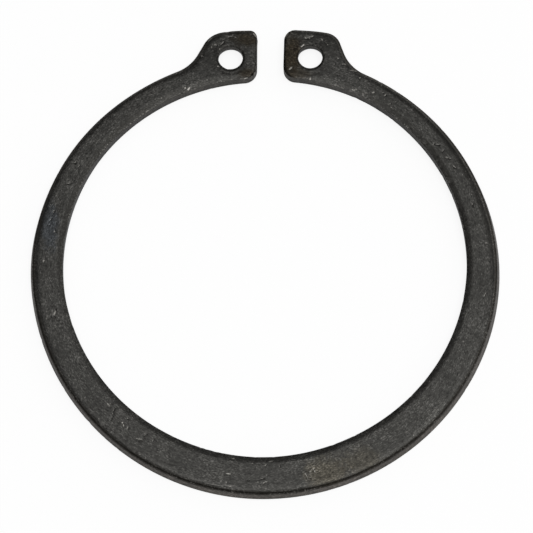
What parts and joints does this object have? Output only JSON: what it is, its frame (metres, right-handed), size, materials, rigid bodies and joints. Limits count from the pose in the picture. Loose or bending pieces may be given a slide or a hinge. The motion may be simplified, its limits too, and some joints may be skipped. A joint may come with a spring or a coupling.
{
  "type": "circlip retaining ring",
  "caption": "Flat external retaining ring of black spring steel, tapering from its thick back to a gap between lugs with plier holes.",
  "frame": {"origin": "centre of the bore at the back face, on the shaft axis", "axes": "+Z along the shaft axis towards the front face with the rounded edges, +Y from the centre through the gap between the lugs"},
  "size_m": [0.0646, 0.0682, 0.002],
  "materials": {
    "black_steel": "phosphated black spring steel, lightly oiled, with fine grain, small bright nicks and rubbed edges"
  },
  "bodies": {
    "root": {"retaining_ring": "black_steel"}
  },
  "joints": []
}
